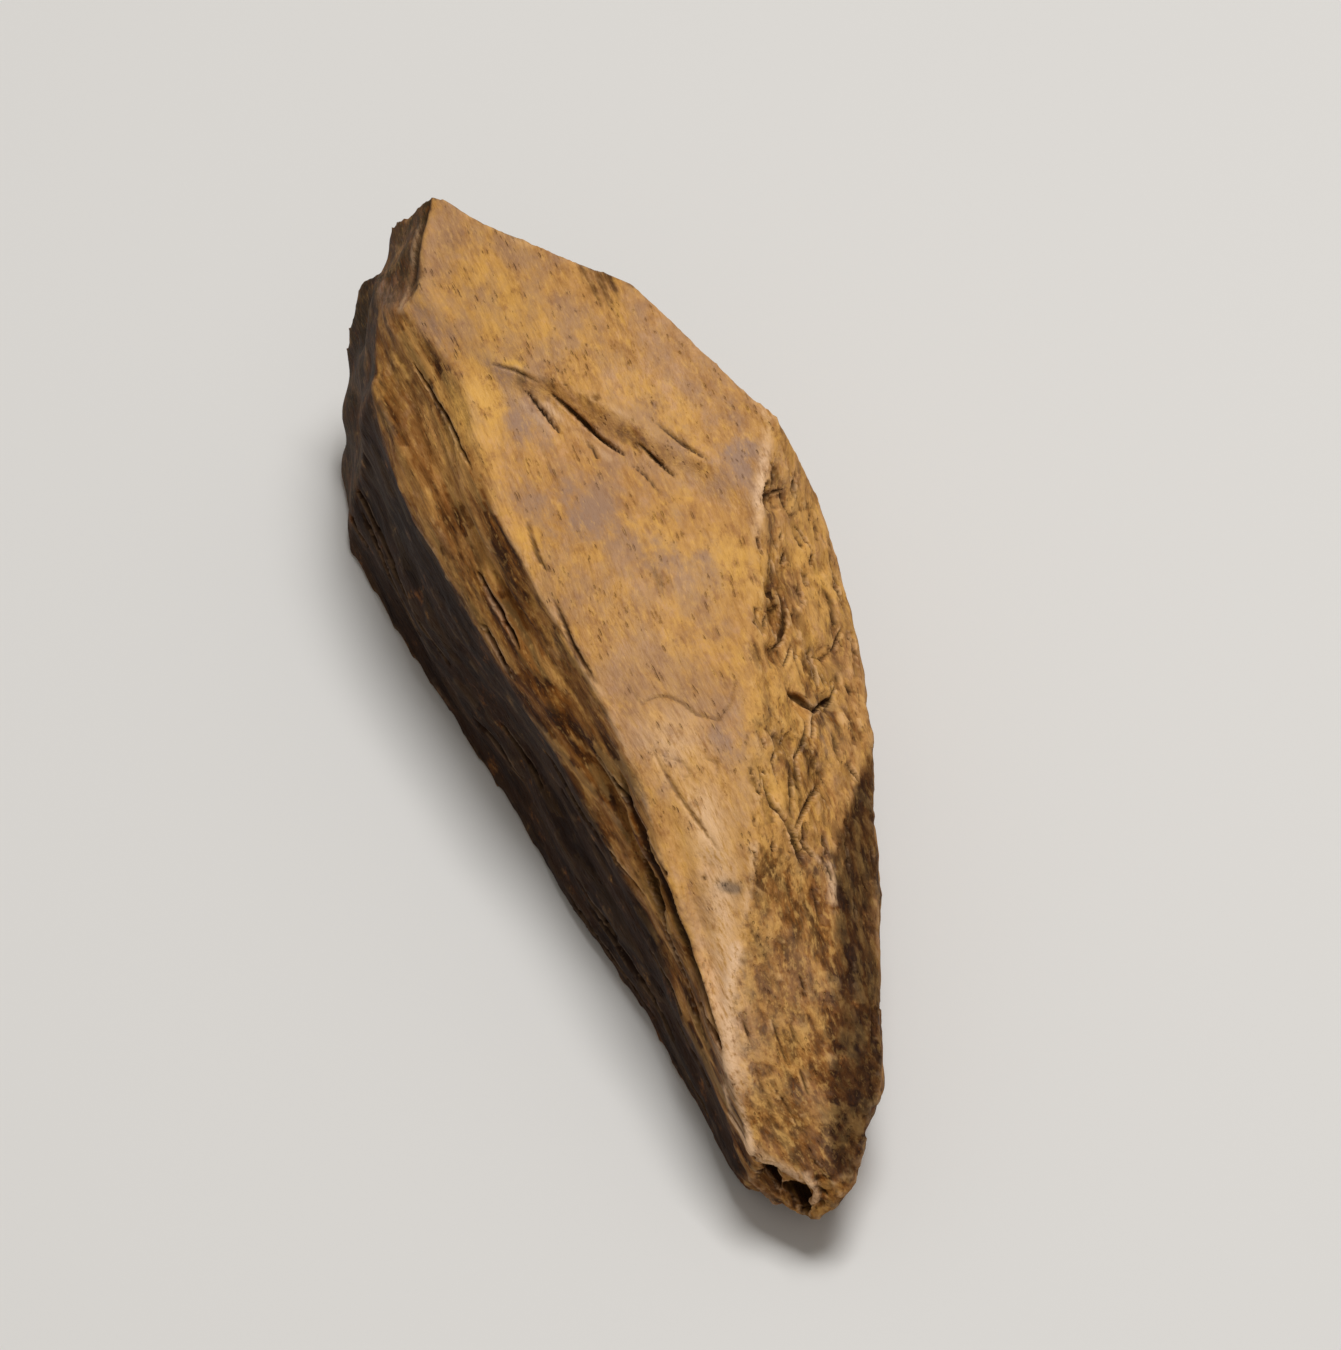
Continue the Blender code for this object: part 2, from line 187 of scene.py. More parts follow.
# Slits that can be seen in the wood: their faces, half width, depth and line, all in mm
slits = [
    ("main ledge step", 0.17, 0.6, [(-18.4, -3.2, 22.1), (-16.6, -2.6, 21.7), (-14.7, -2.1, 21.5)]),
    ("main ledge", 0.2, 0.65, [(-17.6, -1.8, 22.1), (-15.2, -0.6, 21.8), (-13.4, 0.2, 21.5),
                               (-11.4, 1.3, 21.3)]),
    ("main ledge", 0.16, 0.45, [(-11.8, 2.3, 21.8), (-10.4, 3, 21.4), (-8.6, 3.8, 21.2)]),
    ("main", 0.14, 0.3, [(-13.5, -0.7, 21.4), (-12.6, -0.5, 21.3), (-11.9, -0.5, 21.2)]),
    ("main", 0.12, 0.25, [(-10.6, 1.4, 21.4), (-9.4, 2, 21.2), (-7.6, 2.4, 21.1)]),
    ("top ledge", 0.15, 0.3, [(-12.6, 3.8, 22.5), (-10.3, 5, 22.2), (-8.6, 6.2, 21.9)]),
    ("main band", 0.24, 0.45, [(9.5, -6.6, 15.7), (12.2, -6.8, 14.7), (16.8, -6.6, 13.2), (20.9, -6.5, 12.1),
                              (25.8, -6.7, 11.2), (29.5, -6.8, 10)]),
    ("main band", 0.2, 0.35, [(-2.8, -6.9, 19.4), (1, -6.8, 18.6), (4.4, -6.3, 18)]),
    ("main band", 0.18, 0.3, [(-9, -6.6, 20.7), (-5.8, -6.8, 20.2), (-4.4, -6.5, 20)]),
    ("band", 0.26, 0.6, [(11, -7.4, 14), (16, -7.6, 11.5), (21, -7.6, 10), (26, -7.4, 8.5)]),
    ("right main", 0.2, 0.5, [(0.4, 7.7, 18.9), (2.4, 7.5, 18.3), (3.3, 6.9, 17.8), (4.4, 6.4, 17.9),
                              (5.3, 5.2, 18.1)]),
    ("right", 0.13, 0.25, [(5.3, 8.2, 16.5), (4.7, 9, 15), (4.2, 10.2, 15.2)]),
    ("right", 0.26, 0.45, [(8.4, 5.3, 17.6), (8.2, 6, 16.3), (9.3, 6.9, 15.9), (8, 8, 14.7),
                           (7.9, 8.8, 14.9)]),
    ("right", 0.15, 0.35, [(9.9, 6.2, 16.2), (11.7, 5.3, 16.2), (12.9, 4.3, 16.5), (15.6, 3.5, 15.9)]),
    ("right main", 0.15, 0.35, [(13.2, 3.6, 16.6), (15.5, 2.9, 16.2), (17, 2.4, 15.9)]),
    ("right main front", 0.19, 0.45, [(14.5, 1.4, 17.6), (16.5, 1.4, 16.8), (18, 2.2, 15.4)]),
    ("right front", 0.19, 0.45, [(13.8, 5.6, 14.2), (15.5, 4.4, 15.4), (18, 2.2, 15.4)]),
    ("right front", 0.34, 0.5, [(17.2, 2, 15.9), (19.8, 2.2, 14.2)]),
    ("right front", 0.15, 0.3, [(18.1, 2.5, 15.2), (19.4, 3.1, 14)]),
    ("tip front", 0.36, 0.9, [(35.2, -6.1, 5.7), (36, -5.6, 5.2), (36.8, -5.4, 4.6)]),
    ("tip front", 0.5, 1.2, [(36.7, -5.2, 5), (37.6, -4.7, 4.7), (38.4, -4.5, 4.3), (38.8, -4.9, 3.7)]),
]

# Fine dark cracks in its skin
hairlines = [
    ("step ledge", 0.17, 0.22, [(-21.3, -4.7, 22.5), (-19.9, -3.4, 22.8), (-18.4, -2.2, 22.6)]),
    ("buttTop", 0.36, 0.22, [(-36.5, -4.1, 24.2), (-32.8, -6.2, 22.9), (-30.4, -8, 21.3)]),
    ("main", 0.14, 0.16, [(3.6, -5, 19), (7, -4.2, 18.5), (6.8, -3.3, 18.7), (7.1, -2.5, 18.8),
                          (8, -1.8, 18.9), (9.2, -1.3, 18.9), (10.2, -0.1, 19), (9.4, 1, 19.3),
                          (7.5, 2.3, 19.6)]),
    ("main", 0.15, 0.22, [(10.1, -4.7, 17.9), (13.6, -4.2, 17.1), (16.6, -3.4, 16.4), (18.2, -3, 15.9)]),
    ("main", 0.12, 0.12, [(10.9, -4.3, 17.8), (11.9, -3.2, 17.8), (12.8, -3, 17.6), (13.1, -3.7, 17.3)]),
    ("main", 0.12, 0.12, [(12.2, -1.9, 18), (12.9, -1.2, 18.1), (13.9, -1.5, 17.7)]),
]

# Round holes: their faces, half length, half width, depth and middle, in mm
holes = [
    ("main", 0.6, 0.4, 0.1, (20.4, -3.2, 14.9)),
    ("main", 0.3, 0.25, 0.25, (19.2, -4.4, 15.2)),
    ("top", 0.4, 0.33, 0.3, (-17.3, -0.9, 22.9)),
    ("top", 0.3, 0.3, 0.25, (-15.6, 0.7, 22.8)),
    ("right", 1.0, 0.7, 0.8, (-5, 9.1, 21)),
    ("front main", 0.3, 0.25, 0.25, (31.4, -6.9, 9.2)),
    ("tip", 0.4, 0.35, 0.6, (39.1, -3.8, 4.8)),
]

# Edges rubbed pale and given a painted highlight: half width in mm, strength, how far they stand out in mm,
# and the line
wornLines = [
    (0.3, 0.8, 0.08, [(18.9, -0.9, 16.5), (20.6, -1.7, 15.5), (22.3, -2.8, 14.5), (24.1, -4, 13.3)]),
    (0.4, 1.6, 0.12, [(24.1, -4, 13.3), (26.6, -5.5, 12), (30.1, -6.7, 10), (32, -7, 9), (35, -7, 7)]),
    (0.4, 1.2, 0.1, [(30.6, -7.2, 8), (31.9, -7.1, 6.7), (34.7, -7, 6.6)]),
    (0.5, 1.6, 0.14, [(30.2, -6.7, 10), (30.9, -6.9, 9.6)]),
    (0.5, 1.0, 0.12, [(-11.5, 11, 23), (-10, 11, 22.8), (-8, 9.9, 22.2), (-4, 8, 21.3), (-1.5, 7.1, 21)]),
    (0.3, 0.6, 0.05, [(-21, -7, 22), (-12.5, -8.5, 21), (-5, -8, 20), (5, -6.5, 18.5), (11.5, -6, 17),
                      (21.5, -7, 13.5), (32, -7, 9)]),
    (0.24, 0.5, 0.0, [(-20, -3.5, 23.1), (-17.5, -1, 23.2), (-11, 4, 22.8), (-7, 6.4, 21.8)]),
    (0.25, 0.7, 0.05, [(-18, -3.8, 22), (-15, -2.7, 21.6)]),
    (0.25, 0.7, 0.05, [(-17, -2.4, 22), (-14, -1, 21.6), (-11.5, 0.3, 21.3)]),
    (0.35, 0.35, 0.0, [(-36.5, -4, 24.5), (-29.5, 0.5, 25), (-21.5, 7, 25.2), (-14, 9.5, 24.3)]),
    (0.5, 0.7, 0.0, [(-34.5, -5.5, 23.4), (-32, -7, 22.2), (-30, -8.5, 21)]),
    (0.3, 0.8, 0.05, [(11.1, 6.8, 15.2), (12.1, 6.8, 15.1)]),
    (0.35, 0.9, 0.1, [(19.9, 4, 13.4), (21, 3.8, 13), (22.2, 3.4, 12.7)]),
    (0.18, 0.8, 0.05, [(18.4, 2.8, 14.9), (19.6, 3.4, 13.8)]),
    (0.18, 0.8, 0.05, [(9.5, 6.6, 15.9), (11.2, 5.8, 15.9)]),
    (0.4, 1.1, 0.2, [(34.6, -6.9, 6.9), (35.8, -6.5, 6.7), (36.6, -5.4, 6.4), (37.5, -4.6, 6.1)]),
    (0.35, 1.2, 0.4, [(37.8, -4.1, 6.4), (38.7, -3.8, 5.8), (38.9, -4.1, 4.9), (38.1, -4.4, 4.2)]),
    (0.45, 0.8, 0.2, [(35.3, -6.9, 4), (38, -5.8, 2.5), (40, -4.5, 2.9)]),
]

# Soft patches of another tone: which tone, strength, reach in mm, and the middle or the line
tints = [
    ("glow", 0.9, 0.6, [(-30, -7.3, 22.6), (-23, -6.3, 23.1), (-20, -3.3, 23.2)]),
    # the next two patches are painted light, brightening the lower main face and its narrow end
    ("worn", 0.75, 1.3, [(15, -3, 17), (20, -3.6, 15.3), (25, -5.4, 12.6), (31, -6.9, 9.6)]),
    ("worn", 0.55, 2.4, (10.5, -3.4, 18.2)),
    ("bloom", 0.45, 2.6, [(-13, -5, 21.2), (-8, -4.5, 20.9)]),
    ("resin", 0.18, 2.0, [(-6, -9.4, 16), (12, -8, 13.4)]),
    ("resin", 0.15, 1.0, [(11, -7, 15), (16.8, -7, 13), (25.8, -7, 10.6), (31, -7.2, 8)]),
    ("black", 1.2, 0.42, [(20.1, -3.5, 14.9), (20.8, -2.8, 15)]),
    ("bloom", 0.8, 1.4, [(-34, -8.3, 18.6), (-32.1, -8.1, 20.1)]),
    ("glow", 0.8, 2.6, (-18.9, -6.6, 21.5)),
    ("glow", 0.8, 2.6, (-0.9, 4.9, 20.5)),
    ("glow", 0.5, 4.5, (-25, -3, 23.4)),
    ("glow", 0.5, 2.2, (17.5, -3.8, 16)),
    # painted light, brightening the lower main face
    ("glow", 0.3, 3.4, (22.5, -4.6, 14.4)),
    ("glow", 0.6, 2.0, (15, 1.6, 17.4)),
    ("bloom", 0.35, 3.6, (-7, -1.5, 20.9)),
    ("bloom", 0.5, 2.4, (-16.5, -4.4, 21.4)),
    ("bloom", 0.5, 2.6, (-3, 2.4, 20.6)),
    ("bloom", 0.8, 3.0, (-9, 8.5, 22.4)),
    ("bloom", 0.6, 1.4, (11.4, -4.6, 17.9)),
    ("bloom", 0.6, 1.8, (11.6, 0.4, 18.6)),
    ("resin", 0.22, 2.4, (-1.4, 0.2, 20.4)),
    ("resin", 0.25, 2.6, (-24, 4.5, 25)),
    ("resin", 0.3, 1.4, [(0.4, 7.7, 18.9), (5.3, 5.6, 18)]),
    ("resin", 0.22, 2.2, [(8.5, 7, 15.7), (17, 3, 15.6)]),
    ("resin", 0.2, 2.4, (21.5, 1.5, 13.6)),
    ("resin", 0.22, 1.3, [(19.5, 4.2, 13.4), (24, 3, 12.2), (32, -0.5, 9.8), (38.5, -3, 6.8)]),
    ("resin", 0.12, 1.6, [(-20, -4.5, 22.7), (-11, 3, 22.4)]),
    ("resin", 0.16, 3.0, (-12.5, -5.5, 21.3)),
]


def placed(name, data):
    thing = bpy.data.objects.new(name, data)
    bpy.context.scene.collection.objects.link(thing)
    return thing


def outline(stretches):
    # the corners of a face, in turn round it
    points = []
    for line, first, last in stretches:
        step = 1 if last >= first else -1
        points += [hewnLines[line][number] for number in range(first, last + step, step)]
    return points


def hewnBlock():
    # the plain block of faces, as triangles: a tree to search, the face of each triangle,
    # and the direction of each face
    bm = bmesh.new()
    offset = Vector(chip["offset"])
    corners = {point: bm.verts.new(Vector(point) + offset) for line in hewnLines.values() for point in line}
    for number, stretches in enumerate(hewnFaces.values()):
        face = bm.faces.new([corners[point] for point in outline(stretches)])
        face.material_index = number
    bmesh.ops.triangulate(bm, faces=bm.faces[:], ngon_method="BEAUTY")
    totals = np.zeros((len(hewnFaces), 3))
    owner = []
    for face in bm.faces:
        owner.append(face.material_index)
        totals[face.material_index] += np.array(face.normal) * face.calc_area()
    tree = BVHTree.FromBMesh(bm)
    bm.free()
    return tree, owner, totals / np.linalg.norm(totals, axis=1)[:, None]


def remeshed(node, voxel):
    # a fine, even copy of the solid, in mm
    mesh = node.data.copy()
    mesh.transform(Matrix.Scale(1 / mm, 4))
    thing = placed("fineCopy", mesh)
    remesh = thing.modifiers.new("fine", "REMESH")
    remesh.mode = "VOXEL"
    remesh.voxel_size = voxel
    remesh.use_smooth_shade = True
    bpy.context.view_layer.update()
    fine = bpy.data.meshes.new_from_object(thing.evaluated_get(bpy.context.evaluated_depsgraph_get()))
    bpy.data.objects.remove(thing, do_unlink=True)
    return fine


def rowsOf(block, name, width=3, kind=np.float32):
    values = np.empty(len(block) * width, kind)
    block.foreach_get(name, values)
    return values.reshape(-1, width)


def pointsOf(mesh):
    return rowsOf(mesh.vertices, "co").astype(float)


def normalsOf(mesh):
    return rowsOf(mesh.vertex_normals, "vector").astype(float)


def edgesOf(mesh):
    return rowsOf(mesh.edges, "vertices", 2, np.int32)


def setPoints(mesh, points):
    mesh.vertices.foreach_set("co", points.astype(np.float32).ravel())
    mesh.update()


def spread(values, edges, passes, share=0.5):
    # evens a value, or a place, with its neighbours along the mesh's edges
    if values.ndim > 1:
        return np.column_stack([spread(column, edges, passes, share) for column in values.T])
    start, end = edges.T
    count = np.bincount(edges.ravel(), minlength=len(values))
    for _ in range(passes):
        total = np.bincount(start, values[end], len(values)) + np.bincount(end, values[start], len(values))
        values = values * (1 - share) + share * total / count
    return values


def unit(vectors):
    return vectors / np.linalg.norm(vectors, axis=-1, keepdims=True)


def noiseOver(points, size, shift):
    # a value from -1 to 1 at each point; size is a feature's length along X, Y and Z
    return np.array([noise.noise(place) for place in (points / np.array(size) + shift).tolist()])


def ridgesOver(points, size, shift):
    # sharp crests with round valleys, from 0 to 1
    return 1 - 2 * np.abs(noiseOver(points, size, shift))


def chipsOver(points, size, shift):
    # small chips of wood: each has its own level and tilt; also how close a point is to its chip's middle
    levels, slopes, middles = [], [], []
    for place in (points / np.array(size) + shift).tolist():
        distances, centres = noise.voronoi(place)
        centre = centres[0]
        tilt = noise.cell_vector(centre * 9.7) - Vector((0.5, 0.5, 0.5))
        levels.append(noise.cell(centre * 5.3))
        slopes.append(tilt.dot(Vector(place) - centre))
        middles.append(distances[0])
    return np.array(levels), np.array(slopes), np.array(middles)


def ramp(values, low, high):
    # 0 below low, 1 above high, smooth between
    share = np.clip((values - low) / (high - low), 0, 1)
    return share * share * (3 - 2 * share)


def offLine(points, line, outward=None):
    # distance from a line, and how far along it, 0 to 1; outward is a face's direction, and heights
    # over that face don't count
    best = np.full(len(points), 1e9)
    share = np.zeros(len(points))
    for number, (start, end) in enumerate(zip(line, line[1:])):
        stretch = np.array(end, float) - start
        away = points - start
        if outward is not None:
            stretch = stretch - outward * (stretch @ outward)
            away = away - np.outer(away @ outward, outward)
        along = np.clip(away @ stretch / (stretch @ stretch), 0, 1)
        distance = np.linalg.norm(away - np.outer(along, stretch), axis=1)
        closer = distance < best
        best[closer] = distance[closer]
        share[closer] = ((number + along) / (len(line) - 1))[closer]
    return best, share


def offPlace(points, place):
    # distance from a point, or from a line
    if isinstance(place, list):
        return offLine(points, place)[0]
    return np.linalg.norm(points - np.array(place), axis=1)


def offHole(points, halfLength, halfWidth, middle, outward):
    # distance from a hole's middle, which is 1 at its rim
    away = points - np.array(middle)
    away = away - np.outer(away @ outward, outward)
    return np.hypot(away[:, 0] / halfLength, np.hypot(away[:, 1], away[:, 2]) / halfWidth)


def facesOfPoints(points, normals, tree, owner):
    # the hewn face that each point belongs to, which is the one close by that looks the same way,
    # and the way from the point to that face's plane
    found = []
    planes = []
    for place, normal in zip(points.tolist(), normals.tolist()):
        near = tree.find_nearest_range(place, chip["faceReach"]) or [tree.find_nearest(place)]
        way = Vector(normal)
        fit = [chip["facingWorth"] * way.dot(hit[1]) - hit[3] for hit in near]
        spot, facing, number, _distance = near[fit.index(max(fit))]
        found.append(owner[number])
        planes.append(facing * (spot - Vector(place)).dot(facing))
    return np.array(found), np.array(planes)


# The size of each mark in the wood along X, Y and Z, in mm, and its own place in the noise
markSizes = {
    "drift": ((26, 40, 40), (3.1, 7.7)),
    "fibre": ((4, 0.5, 0.5), 17.2),
    "wide": ((19, 1.9, 1.9), 11.4),
    "torn": ((9, 1.0, 1.0), 23.6),
    "lump": ((2.6, 2, 2), 41.5),
    "grit": ((0.8, 0.7, 0.7), 43.9),
    "wave": ((10, 7, 7), 51.2),
    "stroke": ((2.4, 9, 9), 57.7),
    "scoop": ((15, 5.2, 5.2), 2.9),
    "chip": ((3.0, 1.0, 1.0), 5.3),
    "small": ((1.7, 0.62, 0.62), 8.7),
    "long": ((4.2, 0.8, 0.8), 13.1),
    "block": ((1.6, 2.3, 2.3), 19.9),
    "lowEdge": ((14, 5, 5), 61.7),
    "crook": ((1.3, 1.3, 1.3), 71.9),
    "bend": ((5, 5, 5), 77.3),
    "paleEdgeMottle": ((3.4, 1.2, 1.2), 83.1),
    "jitter": ((2.2, 1, 1), 91.3),
}


def wanderingGrain(points):
    size, shifts = markSizes["drift"]
    drift = np.column_stack([noiseOver(points, size, shift) for shift in shifts])
    return points + np.column_stack([np.zeros(len(points)), chip["grainWander"] * drift])


def onFaces(names, facesHere, outward):
    # which points lie on the named faces, and the first one's direction
    numbers = [faceNames.index(name) for name in names.split()]
    return np.isin(facesHere, numbers), outward[numbers[0]]


def kindsOfPoints(facesHere):
    return np.array([faceLooks[name][0] for name in faceNames])[facesHere]


def roundTaper(along):
    # full in the middle, at 0, and rounded off to nothing at the ends, at -1 and 1
    return np.sqrt(np.clip(1 - along ** 2, 0, 1))


def bowl(closeness):
    # the depth across a slit or hole, steep at its rim and round at its bottom
    return np.sin(closeness * math.pi / 2)


def randomCracks(points, normals, kindsHere):
    # each crack: its kind, middle, direction, direction across, the way out, length, half width and depth
    draw = random.Random(chip["crackSeed"])
    cracks = []
    for kind, (count, lengths, halfWidths, depths, turn) in crackKinds.items():
        candidates = np.flatnonzero(kindsHere == kind)
        for _ in range(count):
            spot = candidates[draw.randrange(len(candidates))]
            outward = normals[spot]
            onEndGrain = abs(outward[0]) >= 0.9
            grainWay = np.array((0, 0, 1.0)) if onEndGrain else np.array((1.0, 0, 0))
            along = unit(grainWay - outward * (grainWay @ outward))
            across = np.cross(outward, along)
            angle = math.radians(draw.uniform(-turn, turn))
            way = along * math.cos(angle) + across * math.sin(angle)
            longness = draw.random() ** 2
            length = lengths[0] + (lengths[1] - lengths[0]) * longness
            cracks.append((kind, points[spot], way, np.cross(outward, way), outward, length,
                           draw.uniform(*halfWidths), draw.uniform(*depths)))
    return cracks


def offCracks(points, kindsHere, cracks, margin=0.0):
    # depth that the random cracks cut at each point, or, with a margin, which points lie that near one
    depth = np.zeros(len(points))
    crookedness = chip["crackCrook"] * noiseOver(points, *markSizes["crook"])
    crookedness = crookedness + chip["crackBend"] * noiseOver(points, *markSizes["bend"])
    ends = chip["crackEnds"]
    for kind, middle, way, across, outward, length, halfWidth, deep in cracks:
        here = np.flatnonzero((np.abs(points - middle).max(axis=1) < length / 2 + 1) & (kindsHere == kind))
        away = points[here] - middle
        along = 2 * (away @ way) / length
        inside = (np.abs(along) < 1) & (np.abs(away @ outward) < chip["crackThrough"])
        taper = roundTaper(along)
        distance = np.abs(away @ across + crookedness[here])
        width = halfWidth * (ends + (1 - ends) * taper) + margin
        closeness = np.clip(1 - distance / width, 0, 1) * inside
        if not margin:
            closeness = deep * taper * bowl(closeness)
        depth[here] = np.maximum(depth[here], closeness)
    return depth


def refine(mesh, close):
    # cuts the triangles that touch a marked point into smaller ones
    bm = bmesh.new()
    bm.from_mesh(mesh)
    faces = [face for face in bm.faces if any(close[vert.index] for vert in face.verts)]
    edges = dict.fromkeys(edge for face in faces for edge in face.edges)
    bmesh.ops.subdivide_edges(bm, edges=list(edges), cuts=1, use_grid_fill=True)
    bmesh.ops.triangulate(bm, faces=[face for face in bm.faces if len(face.verts) > 4])
    bm.to_mesh(mesh)
    bm.free()


def nearnessToEdges(facesHere, edges):
    # 1 where hewn faces meet, fading to 0 within about 2 mm
    onEdge = np.zeros(len(facesHere))
    onEdge[edges[facesHere[edges[:, 0]] != facesHere[edges[:, 1]]].ravel()] = 1
    return np.clip(chip["edgeStrength"] * spread(onEdge, edges, chip["edgePasses"]), 0, 1)


def crispMesh(tree, owner, outward):
    # the fine mesh, its edges sharpened, and finer along every slit; and where its random cracks go
    mesh = remeshed(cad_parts["agarwood_piece"], chip["voxel"])
    edges = edgesOf(mesh)
    points = spread(pointsOf(mesh), edges, chip["meshPasses"])
    setPoints(mesh, points)
    facesHere, toPlane = facesOfPoints(points, normalsOf(mesh), tree, owner)

    # the thick end is worn blunt, the other edges are pulled out to the hewn planes
    butt, cleanCut = (spread(onFaces(names, facesHere, outward)[0].astype(float), edges, chip["buttBlend"])
                      for names in ("buttTop buttLow buttEnd", "top ledge"))
    blunt = np.clip(chip["buttReach"] * butt - chip["cutKeeps"] * cleanCut, 0, 1)
    calm = spread(points, edges, chip["buttWear"])
    points = points + (calm - points) * blunt[:, None]
    pull = chip["crispness"] * nearnessToEdges(facesHere, edges) * (1 - blunt)
    pull = pull * (1 - ramp(np.linalg.norm(toPlane, axis=1), *chip["crispLimits"]))
    points = points + toPlane * pull[:, None]
    points = spread(points, edges, chip["meshPasses"], chip["edgeSoftness"])
    setPoints(mesh, points)

    kindsHere = kindsOfPoints(facesHere)
    cracks = randomCracks(points, spread(normalsOf(mesh), edges, chip["crackPasses"]), kindsHere)
    close = offCracks(points, kindsHere, cracks, chip["fineReach"]) > 0
    for names, halfWidth, _depth, line in slits + hairlines:
        here, way = onFaces(names, facesHere, outward)
        close |= here & (offLine(points, line, way)[0] < halfWidth + chip["fineReach"])
    for names, halfLength, halfWidth, _depth, middle in holes:
        here, way = onFaces(names, facesHere, outward)
        close |= here & (offHole(points, halfLength, halfWidth, middle, way) < chip["holeReach"])
    refine(mesh, close)
    print("fine mesh:", len(mesh.vertices), "points,", len(cracks), "cracks")
    return mesh, cracks


def cutDepth(points, facesHere, outward):
    # depth of the slits, hairlines and holes at each point, and the painted shade that darkens them inside
    depth = np.zeros(len(points))
    dark = np.zeros(len(points))
    jitter = noiseOver(points, *markSizes["jitter"])
    ends = chip["slitEnds"]
    for names, halfWidth, deep, line in slits + hairlines:
        here, way = onFaces(names, facesHere, outward)
        distance, share = offLine(points, line, way)
        taper = roundTaper(2 * share - 1)
        width = halfWidth * (ends + (1 - ends) * taper + chip["slitJitter"] * jitter)
        closeness = np.clip(1 - distance / width, 0, 1) * here
        depth = np.maximum(depth, deep * taper * bowl(closeness))
        darkness = min(1, deep / chip["slitDark"])
        dark = np.maximum(dark, ramp(closeness, *chip["rimDark"]) * darkness * taper)
    for names, halfLength, halfWidth, deep, middle in holes:
        here, way = onFaces(names, facesHere, outward)
        distance = offHole(points, halfLength, halfWidth, middle, way) + chip["holeJitter"] * jitter
        closeness = np.clip(1 - distance, 0, 1) * here
        depth = np.maximum(depth, deep * bowl(closeness))
        darkness = min(1, deep / chip["holeDark"])
        dark = np.maximum(dark, ramp(closeness, *chip["rimDark"]) * darkness)
    return depth, dark


# How far the marks stand out on each kind of face, in mm; "flat" moves the whole face. Level is the step from
# one small chip of wood to the next, and slope its tilt
reliefShares = {
    "cut": {"scoop": 0.26, "wave": 0.1, "stroke": 0.02, "fibre": 0.02, "grit": 0.02},
    "split": {"wide": 0.18, "torn": 0.12, "longLevel": 0.066, "fibre": 0.05, "flat": -0.135},
    "pitted": {"chipLevel": 0.088, "smallLevel": 0.066, "chipSlope": 0.24, "smallSlope": 0.168, "pits": -0.2,
               "grit": 0.04, "fibre": 0.05},
    "felted": {"longLevel": 0.0825, "smallLevel": 0.0385, "longSlope": 0.096, "smallSlope": 0.072,
               "wave": 0.12, "fibre": 0.05},
    "broken": {"blockLevel": 0.077, "smallLevel": 0.033, "blockSlope": 0.168, "smallSlope": 0.096,
               "wave": 0.2, "grit": 0.04, "flat": -0.06},
    "ragged": {"blockLevel": 0.176, "smallLevel": 0.066, "blockSlope": 0.336, "smallSlope": 0.144,
               "grit": 0.06, "flat": -0.05},
    "rest": {"wide": 0.15, "longLevel": 0.044, "flat": -0.194},
}

# How much the small chips of each kind of face differ in tone
toneShares = {
    "split": {"longLevel": 0.5},
    "pitted": {"chipLevel": 0.45, "smallLevel": 0.55},
    "felted": {"longLevel": 0.55, "smallLevel": 0.35},
    "broken": {"blockLevel": 0.3, "smallLevel": 0.35},
    "ragged": {"blockLevel": 0.35, "smallLevel": 0.5},
    "rest": {"longLevel": 0.4},
}

# Hollows and ridges of the finished wood, close by and over a few mm; hollows get painted shade, ridges get
# pale that is partly wear and partly painted highlight:
# the passes of smoothing that find them, and for each its least and full depth in mm and its strength
hollowsFound = [(4, (0.03, 0.16, 1.0), (0.03, 0.12, 0.4)),
                (36, (0.14, 0.6, 0.7), (0.25, 0.7, 0.45))]


def mixedMarks(shares, weight, marks):
    # adds up the marks of each kind of face, as strong as that kind is at each point
    total = 0.0
    for kind, row in shares.items():
        total = total + weight[kind] * sum(share * marks[name] for name, share in row.items())
    return total


def reliefOf(points, weight):
    # how far the wood stands out, by how each face was worked, and the tone of its small chips, -1 to 1
    grain = wanderingGrain(points)
    marks = {"flat": 1.0, "fibre": noiseOver(grain, *markSizes["fibre"])}
    for name in ("lump", "grit", "wave", "stroke"):
        marks[name] = noiseOver(points, *markSizes[name])
    for name in ("wide", "torn"):
        marks[name] = ridgesOver(grain, *markSizes[name])

    # the knife's dips are round and shallow; the small chips lie at their own levels, and the lowest are pits
    middles = chipsOver(grain + chip["knifeWarp"] * marks["wave"][:, None], *markSizes["scoop"])[2]
    marks["scoop"] = middles ** 2 - chip["scoopLevel"]
    warped = grain + chip["chipWarp"] * np.column_stack([marks["lump"], marks["grit"], marks["wave"]])
    straighter = grain + chip["chipWarp"] * marks["lump"][:, None]
    for name, place in (("chip", warped), ("small", warped), ("long", straighter), ("block", warped)):
        marks[name + "Level"], marks[name + "Slope"], _middles = chipsOver(place, *markSizes[name])
    marks["pits"] = ramp(-marks["chipLevel"], *chip["pitLevels"])
    marks["pits"] = marks["pits"] * ramp(-marks["smallLevel"], *chip["smallPitLevels"])

    height = mixedMarks(reliefShares, weight, marks)
    return np.clip(height, *chip["reliefRange"]), mixedMarks(toneShares, weight, marks)


def paintValue(mesh, name, values):
    layer = mesh.attributes.new(name, "FLOAT", "POINT")
    layer.data.foreach_set("value", values.astype(np.float32))


